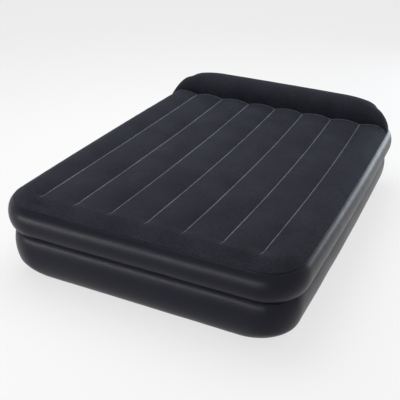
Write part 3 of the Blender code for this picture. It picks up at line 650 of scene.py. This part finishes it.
# %% A bead that follows a line
def bead_tree():
    tree = bpy.data.node_groups.new("bead", "GeometryNodeTree")
    for name, kind in (("Line", "NodeSocketGeometry"), ("Radius", "NodeSocketFloat"),
                       ("Sides", "NodeSocketInt"), ("Finish", "NodeSocketMaterial")):
        tree.interface.new_socket(name, in_out="INPUT", socket_type=kind)
    tree.interface.new_socket("Bead", in_out="OUTPUT", socket_type="NodeSocketGeometry")
    add = tree.nodes.new
    start, end = add("NodeGroupInput"), add("NodeGroupOutput")
    curve, circle = add("GeometryNodeMeshToCurve"), add("GeometryNodeCurvePrimitiveCircle")
    sweep, realize = add("GeometryNodeCurveToMesh"), add("GeometryNodeRealizeInstances")
    finish = add("GeometryNodeSetMaterial")
    sweep.inputs["Fill Caps"].default_value = True
    for source, target in (
        (start.outputs["Line"], curve.inputs["Mesh"]),
        (start.outputs["Radius"], circle.inputs["Radius"]),
        (start.outputs["Sides"], circle.inputs["Resolution"]),
        (curve.outputs["Curve"], sweep.inputs["Curve"]),
        (circle.outputs["Curve"], sweep.inputs["Profile Curve"]),
        (sweep.outputs["Mesh"], realize.inputs["Geometry"]),
        (realize.outputs["Geometry"], finish.inputs["Geometry"]),
        (start.outputs["Finish"], finish.inputs["Material"]),
        (finish.outputs["Geometry"], end.inputs["Bead"]),
    ):
        tree.links.new(source, target)
    return tree


BEAD = bead_tree()


def set_inputs(modifier, **values):
    """Set a tree's named inputs by their identifiers."""
    for socket in modifier.node_group.interface.items_tree:
        if socket.in_out == "INPUT" and socket.name in values:
            modifier[socket.identifier] = values[socket.name]


def bead(name, paths, radius, finish, closed=False, sides=8):
    """A bead along each path of points."""
    work = bmesh.new()
    for path in paths:
        corners = [work.verts.new(point) for point in path]
        for n in range(0 if closed else 1, len(corners)):
            work.edges.new((corners[n - 1], corners[n]))
    item = add_piece(name, work, finish)
    sweep = item.modifiers.new("bead", "NODES")
    sweep.node_group = BEAD
    set_inputs(sweep, Radius=radius, Sides=sides, Finish=finish)
    settle(item)
    work = bmesh.new()
    work.from_mesh(item.data)
    bmesh.ops.recalc_face_normals(work, faces=work.faces[:])
    work.to_mesh(item.data)
    work.free()
    return item


def weld_path(line):
    """Down the bottom of a groove; it sinks into the flock at both ends."""
    path = []
    first, last = -SEAM_Y + LINE_END, PILLOW_FRONT + 0.004
    for y in spaced(first, last, 170):
        x, py, z = top_point(line, y)
        depth = 0.0030 * (1 - eased((y - first) / 0.14))
        path.append((x, py, z + 0.0004 - depth))
    return path


weld_lines = bead("weld_lines", [weld_path(line) for line in WELD_LINES], 0.0030, PRESSED_FLOCK, sides=6)
finish_piece(weld_lines, "flocked_top")


def seam_path(inset, z):
    return [(*outline_point(n, inset), z) for n in range(len(STATIONS))]


seam_beads = bead("seam_beads", [seam_path(SEAM_INSET + 0.0006, SEAM_Z + 0.0011)], 0.0014, WELD, closed=True)
finish_piece(seam_beads, "side_vinyl")
base_bead = bead("base_bead", [seam_path(BOTTOM_INSET - 0.0005, 0.0022)], 0.0018, WELD, closed=True)
finish_piece(base_bead, "side_vinyl")


def pillow_front_path():
    path = []
    for x in spaced(-SEAM_X, SEAM_X, 260):
        px, py, z = top_point(x, PILLOW_FRONT)
        path.append((px, py - 0.0008, z + 0.0014))
    return path


pillow_bead = bead("pillow_front_weld", [pillow_front_path()], 0.0013, PRESSED_FLOCK, sides=6)
finish_piece(pillow_bead, "flocked_top")

# %% [markdown]
# ## The pump's surroundings
# The collar is welded to the wall with a flat flange that follows the wall's
# curve.  `wall_face` finds the wall's face at a height, and the flange is a film
# that is laid a little outside it.

# %% The collar's flange
FACE_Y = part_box("cord_bay")[1][1]
LOWER_PROFILE = tier_profile((BOTTOM_INSET, bottom_high[2]), (WAIST_INSET, divider_low[2]), LOWER_INSET)
FLANGE_WIDTH = 0.016


def wall_face(z):
    for (low_inset, low_z), (high_inset, high_z) in zip(LOWER_PROFILE, LOWER_PROFILE[1:]):
        if z <= high_z:
            share = max(0.0, (z - low_z) / (high_z - low_z))
            return HALF_LENGTH - low_inset - (high_inset - low_inset) * share
    return HALF_LENGTH - WAIST_INSET


def flange_outline(extra):
    return rounded_box(COLLAR_X, COLLAR_Z, COLLAR_WIDTH + 2 * extra, COLLAR_HEIGHT + 2 * extra,
                       COLLAR_ROUND + extra)


FLANGE_STEPS = 6
FLANGE_RINGS = [flange_outline(0.0008 + FLANGE_WIDTH * n / FLANGE_STEPS) for n in range(FLANGE_STEPS + 1)]


def flange_point(i, j):
    x, z = FLANGE_RINGS[FLANGE_STEPS - j][i % len(FLANGE_RINGS[0])]
    return x, wall_face(z) + 0.0022, z


flange = film("collar_flange", flange_point, len(FLANGE_RINGS[0]), FLANGE_STEPS, WELD, closed=True)
finish_piece(flange, "side_vinyl")
flange_beads = bead("flange_beads", [
    [(x, wall_face(z) + 0.0022, z) for x, z in FLANGE_RINGS[n]] for n in (1, FLANGE_STEPS)],
    0.0009, WELD, closed=True, sides=6)
finish_piece(flange_beads, "side_vinyl")

# %% [markdown]
# ## Marks and grips
# Raised marks round the dial, ribs on the cap and ribs on the door's finger pull
# all repeat one small bar.  A Geometry Nodes tree puts a bar at each point of a
# mesh and turns it away from a centre.


# %% Bars at points
def bar_tree():
    tree = bpy.data.node_groups.new("bars", "GeometryNodeTree")
    for name, kind in (("Points", "NodeSocketGeometry"), ("Size", "NodeSocketVector"),
                       ("Centre", "NodeSocketVector"), ("Finish", "NodeSocketMaterial")):
        tree.interface.new_socket(name, in_out="INPUT", socket_type=kind)
    tree.interface.new_socket("Bars", in_out="OUTPUT", socket_type="NodeSocketGeometry")
    add = tree.nodes.new
    start, end = add("NodeGroupInput"), add("NodeGroupOutput")
    cube, place = add("GeometryNodeMeshCube"), add("GeometryNodeInputPosition")
    away, turn = add("ShaderNodeVectorMath"), add("FunctionNodeAlignRotationToVector")
    spread, realize = add("GeometryNodeInstanceOnPoints"), add("GeometryNodeRealizeInstances")
    finish = add("GeometryNodeSetMaterial")
    away.operation = "SUBTRACT"
    turn.axis = "Z"
    turn.pivot_axis = "Y"
    for source, target in (
        (start.outputs["Size"], cube.inputs["Size"]),
        (place.outputs["Position"], away.inputs[0]),
        (start.outputs["Centre"], away.inputs[1]),
        (away.outputs[0], turn.inputs["Vector"]),
        (start.outputs["Points"], spread.inputs["Points"]),
        (cube.outputs["Mesh"], spread.inputs["Instance"]),
        (turn.outputs["Rotation"], spread.inputs["Rotation"]),
        (spread.outputs["Instances"], realize.inputs["Geometry"]),
        (realize.outputs["Geometry"], finish.inputs["Geometry"]),
        (start.outputs["Finish"], finish.inputs["Material"]),
        (finish.outputs["Geometry"], end.inputs["Bars"]),
    ):
        tree.links.new(source, target)
    return tree


BARS = bar_tree()


def bars(name, points, size, centre, finish):
    work = bmesh.new()
    for point in points:
        work.verts.new(point)
    item = add_piece(name, work, finish)
    spread = item.modifiers.new("bars", "NODES")
    spread.node_group = BARS
    set_inputs(spread, Size=size, Centre=centre, Finish=finish)
    return settle(item, 30)


def ring_points(centre, radius, y, angles):
    """Points round a centre on an upright face; angle 0 is up."""
    return [(centre[0] + radius * math.sin(turn), y, centre[2] + radius * math.cos(turn)) for turn in angles]


def middle(name):
    low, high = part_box(name)
    return [(a + b) / 2 for a, b in zip(low, high)]


dial_centre = middle("dial_shaft")
dial_radius = (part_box("mode_dial")[1][0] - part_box("mode_dial")[0][0]) / 2
mark_angles = [math.radians(angle) for angle in range(-60, 61, 20)]
marks = bars("dial_marks", ring_points(dial_centre, dial_radius + 0.0042, FACE_Y + 0.0002, mark_angles),
             (0.0013, 0.0008, 0.0040), (dial_centre[0], FACE_Y + 0.0002, dial_centre[2]), MARK)
finish_piece(marks, "grey_plastic")

cap_low, cap_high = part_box("valve_cap")
cap_centre = middle("valve_cap")
cap_radius = (cap_high[0] - cap_low[0]) / 2
cap_angles = [math.radians(15 * n) for n in range(24)]
cap_y = cap_high[1] - 0.0042
ribs = bars("cap_ribs", ring_points(cap_centre, cap_radius, cap_y, cap_angles),
            (0.0016, 0.0046, 0.0012), (cap_centre[0], cap_y, cap_centre[2]), RUBBER)
finish_piece(ribs, "rubber", body="cap")

dial_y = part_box("mode_dial")[0][1] + 0.0034
grip_angles = [math.radians(7.5 * n) for n in range(48)]
grip = bars("dial_grip_ribs", ring_points(dial_centre, dial_radius, dial_y, grip_angles),
            (0.0016, 0.0046, 0.0010), (dial_centre[0], dial_y, dial_centre[2]), PLASTIC)
finish_piece(grip, "pump_plastic", body="dial")

pointer_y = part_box("mode_dial")[1][1]
pointer = bars("dial_pointer", [(dial_centre[0], pointer_y, dial_centre[2] + dial_radius * 0.62)],
               (0.0026, 0.0008, 0.014), (dial_centre[0], pointer_y, dial_centre[2]), MARK)
finish_piece(pointer, "grey_plastic", body="dial")

door_low, door_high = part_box("cord_door")
door_face = FACE_Y + 0.0028
pull_z = (door_low[2] + door_high[2]) / 2
pull_points = [(door_low[0] + 0.006 + 0.0034 * n, door_face, pull_z) for n in range(4)]
pull = bars("door_pull_ribs", pull_points, (0.0014, 0.0014, 0.030), (0, door_face, pull_z + 9.0), PLASTIC)
finish_piece(pull, "pump_plastic", body="door")

# %% [markdown]
# Floor, light and camera.  The bed stands on a plain white floor in a
# plain studio.  Floor and world show the same white to the camera and in
# reflections, and the floor keeps part of its own shading, so that the
# bed's shadow stays.  A wide soft lamp hangs over the bed, a low strip
# stands before the foot and a cooler soft lamp stands behind the right
# side.  They light the bed at a level where a mid grey comes out about
# as it is written.

# %% Floor
work = bmesh.new()
bmesh.ops.create_grid(work, x_segments=1, y_segments=1, size=30)
floor_finish = Finish("floor", (0.86, 0.86, 0.87), 0.9)
floor = add_piece("floor", work, floor_finish.material)
floor.data.transform(Matrix.Translation((0, 0, -0.0005)))


def seen_directly(nodes, links):
    """1 where the camera, a mirror or a glass looks straight at a surface, else 0."""
    path = nodes.new("ShaderNodeLightPath")
    value = path.outputs["Is Camera Ray"]
    for name in ("Is Glossy Ray", "Is Transmission Ray"):
        either = nodes.new("ShaderNodeMath")
        either.operation = "MAXIMUM"
        links.new(value, either.inputs[0])
        links.new(path.outputs[name], either.inputs[1])
        value = either.outputs[0]
    return value


def white_floor(finish, share):
    """Show the floor as white paper, share of it glowing, and keep the bed's shadow."""
    glow = finish.nodes.new("ShaderNodeEmission")
    part = finish.nodes.new("ShaderNodeMath")
    part.operation = "MULTIPLY"
    part.inputs[1].default_value = share
    mix = finish.nodes.new("ShaderNodeMixShader")
    for source, target in (
        (seen_directly(finish.nodes, finish.links), part.inputs[0]), (part.outputs[0], mix.inputs[0]),
        (finish.shader.outputs[0], mix.inputs[1]), (glow.outputs[0], mix.inputs[2]),
        (mix.outputs[0], finish.nodes["Material Output"].inputs["Surface"]),
    ):
        finish.links.new(source, target)


white_floor(floor_finish, 0.7)

# %% World and lamps
world = bpy.data.worlds.new("studio")
scene.world = world
world.use_nodes = True
backdrop = world.node_tree.nodes["Background"]
backdrop.inputs["Color"].default_value = (1, 1, 1, 1)
backdrop.inputs["Strength"].default_value = 0.45
seen = world.node_tree.nodes.new("ShaderNodeBackground")
seen.inputs["Color"].default_value = (1, 1, 1, 1)
seen.inputs["Strength"].default_value = 1.0
choose = world.node_tree.nodes.new("ShaderNodeMixShader")
for source, target in (
    (seen_directly(world.node_tree.nodes, world.node_tree.links), choose.inputs[0]), (backdrop.outputs[0], choose.inputs[1]),
    (seen.outputs[0], choose.inputs[2]),
    (choose.outputs[0], world.node_tree.nodes["World Output"].inputs["Surface"]),
):
    world.node_tree.links.new(source, target)


def soft_light(name, place, target, size, power, colour=(1, 1, 1)):
    data = bpy.data.lights.new(name, "AREA")
    data.shape = "RECTANGLE"
    data.size, data.size_y = size
    data.energy = power
    data.color = colour
    lamp = bpy.data.objects.new(name, data)
    scene.collection.objects.link(lamp)
    lamp.location = place
    lamp.visible_camera = False
    lamp.rotation_euler = (Vector(target) - Vector(place)).to_track_quat("-Z", "Y").to_euler()


soft_light("overhead", (-0.6, 0.3, 3.1), (0, 0.1, 0.3), (3.4, 2.8), 78)
soft_light("front_low", (-0.7, -3.0, 0.12), (0, -1.0, 0.22), (4.2, 0.30), 50)
soft_light("right_back", (2.3, 3.6, 0.60), (0.76, 0.2, 0.3), (2.6, 1.1), 52, (0.80, 0.88, 1.0))

# %% Camera
CAMERA_TURN = math.radians(22.26)
CAMERA_HEIGHT = math.radians(26.40)
CAMERA_ROLL = math.radians(2.70)
CAMERA_DISTANCE = 3.893
CAMERA_LENS = 63.01
CAMERA_TARGET = Vector((0, 0, 0.2))
CAMERA_SHIFT = (-0.0585, -0.0283)


def camera_axes():
    back = Vector((math.sin(CAMERA_TURN) * math.cos(CAMERA_HEIGHT),
                   -math.cos(CAMERA_TURN) * math.cos(CAMERA_HEIGHT), math.sin(CAMERA_HEIGHT)))
    right = Vector((math.cos(CAMERA_TURN), math.sin(CAMERA_TURN), 0))
    up = back.cross(right)
    cosine, sine = math.cos(CAMERA_ROLL), math.sin(CAMERA_ROLL)
    return right * cosine + up * sine, up * cosine - right * sine, back


right, up, back = camera_axes()
camera_data = bpy.data.cameras.new("camera")
camera = bpy.data.objects.new("camera", camera_data)
scene.collection.objects.link(camera)
camera_data.lens = CAMERA_LENS
camera_data.shift_x, camera_data.shift_y = CAMERA_SHIFT
turn = Matrix((right, up, back)).transposed().to_4x4()
camera.matrix_world = Matrix.Translation(CAMERA_TARGET + back * CAMERA_DISTANCE) @ turn
scene.camera = camera
scene.view_settings.view_transform = "Standard"

# %% [markdown]
# ## Finish
# The view layer is brought up to date. The looks have to stay inside the solids' box.

# %% Finish
bpy.context.view_layer.update()
